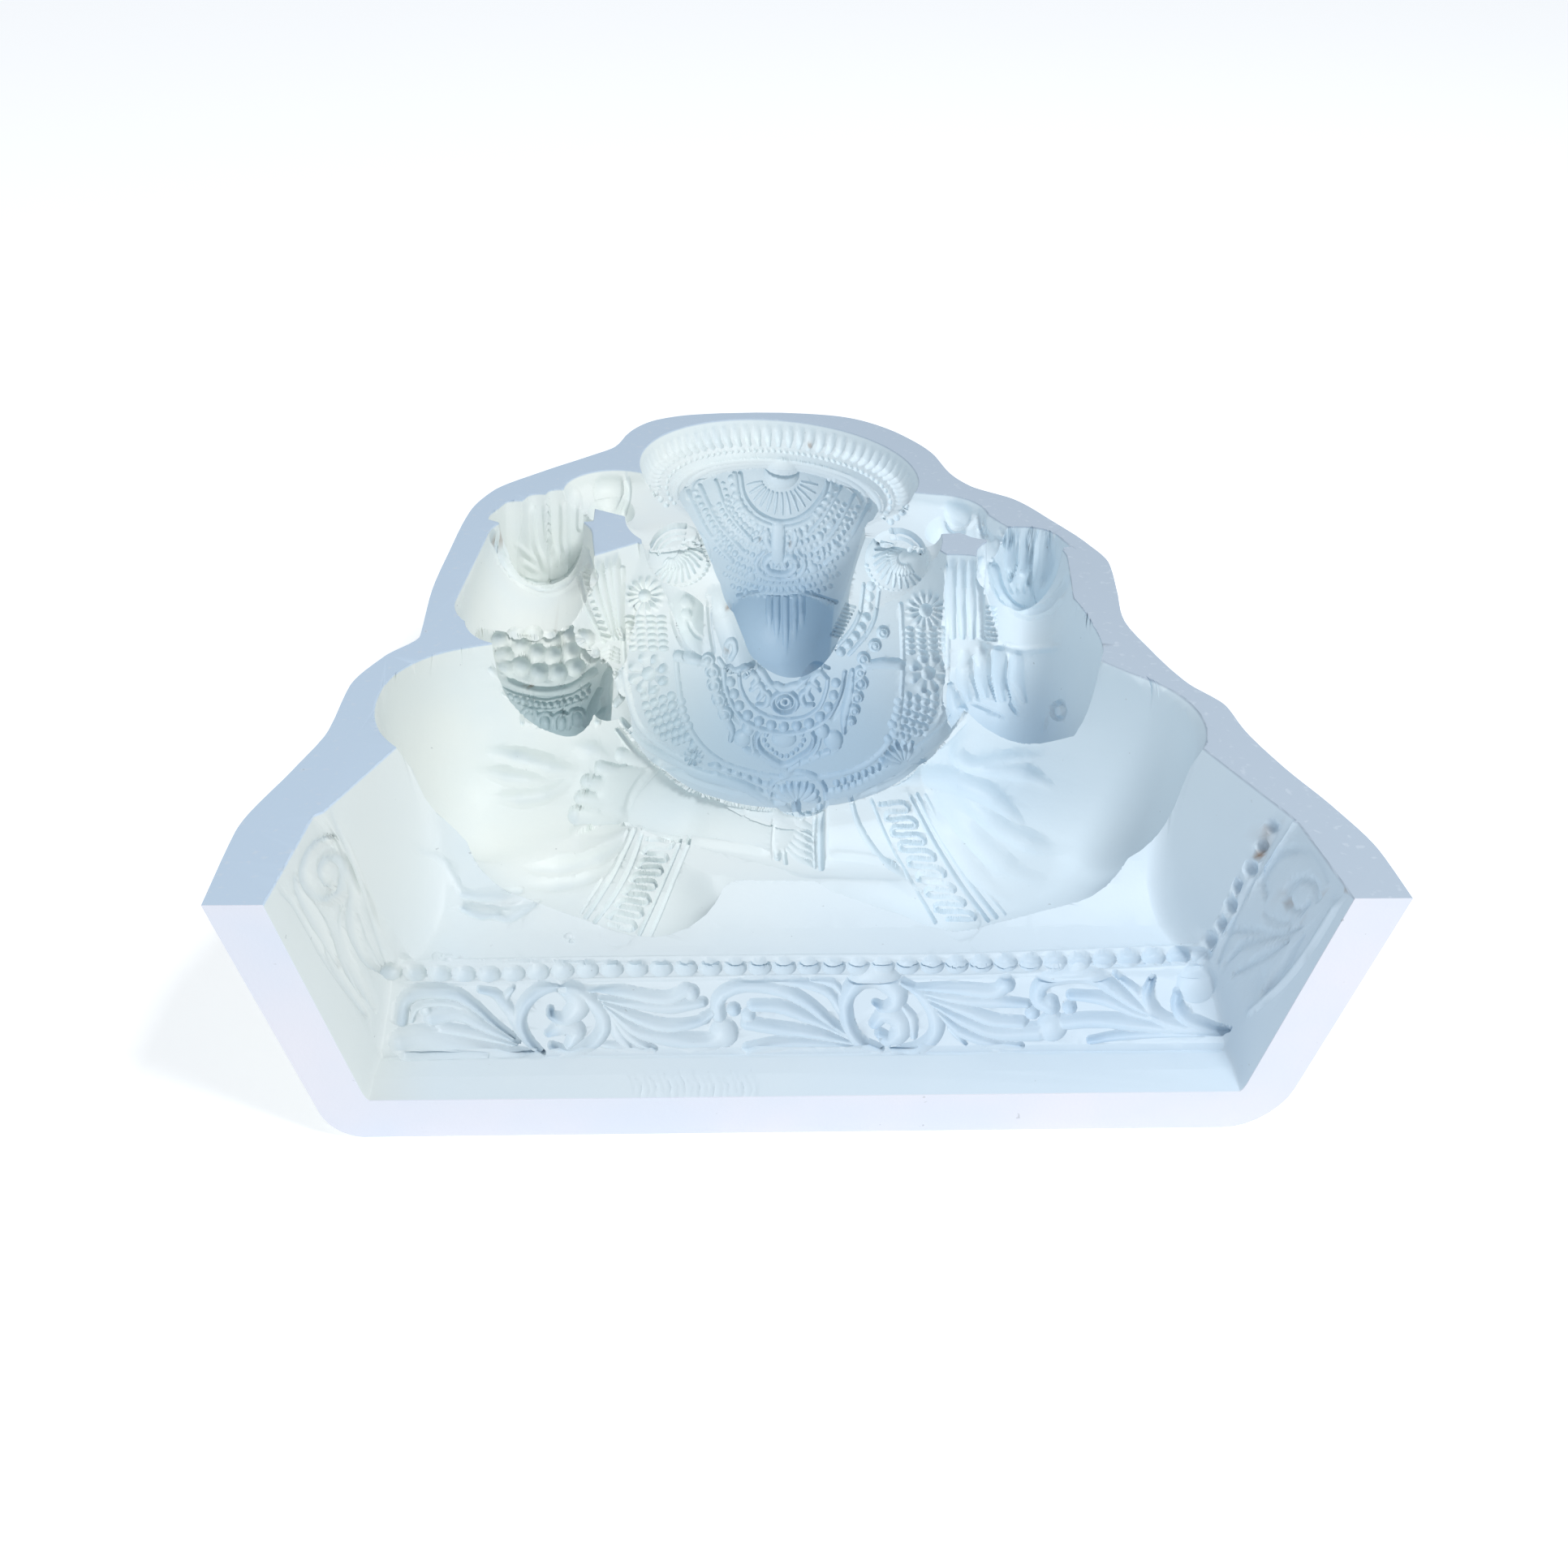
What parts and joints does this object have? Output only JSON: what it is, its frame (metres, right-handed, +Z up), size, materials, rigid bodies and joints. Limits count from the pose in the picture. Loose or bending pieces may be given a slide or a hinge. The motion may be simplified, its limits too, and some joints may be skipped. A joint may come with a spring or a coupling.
{
  "type": "figure casting mould half",
  "caption": "Flexible casting mould half, hollowed in the shape of a seated figure on a scrolled plinth, with a flat parting face and an open base end.",
  "frame": {"origin": "middle of the bounding box in plan, on the flat underside that the mould rests on", "axes": "+Z up out of the flat parting face and the hollow, +Y from the cut base end to the crown end of the figure, +X to the right seen from the base end"},
  "size_m": [0.283, 0.322, 0.072],
  "materials": {
    "silicone": "satin"
  },
  "bodies": {
    "root": {"mould_half": "silicone"}
  },
  "joints": []
}
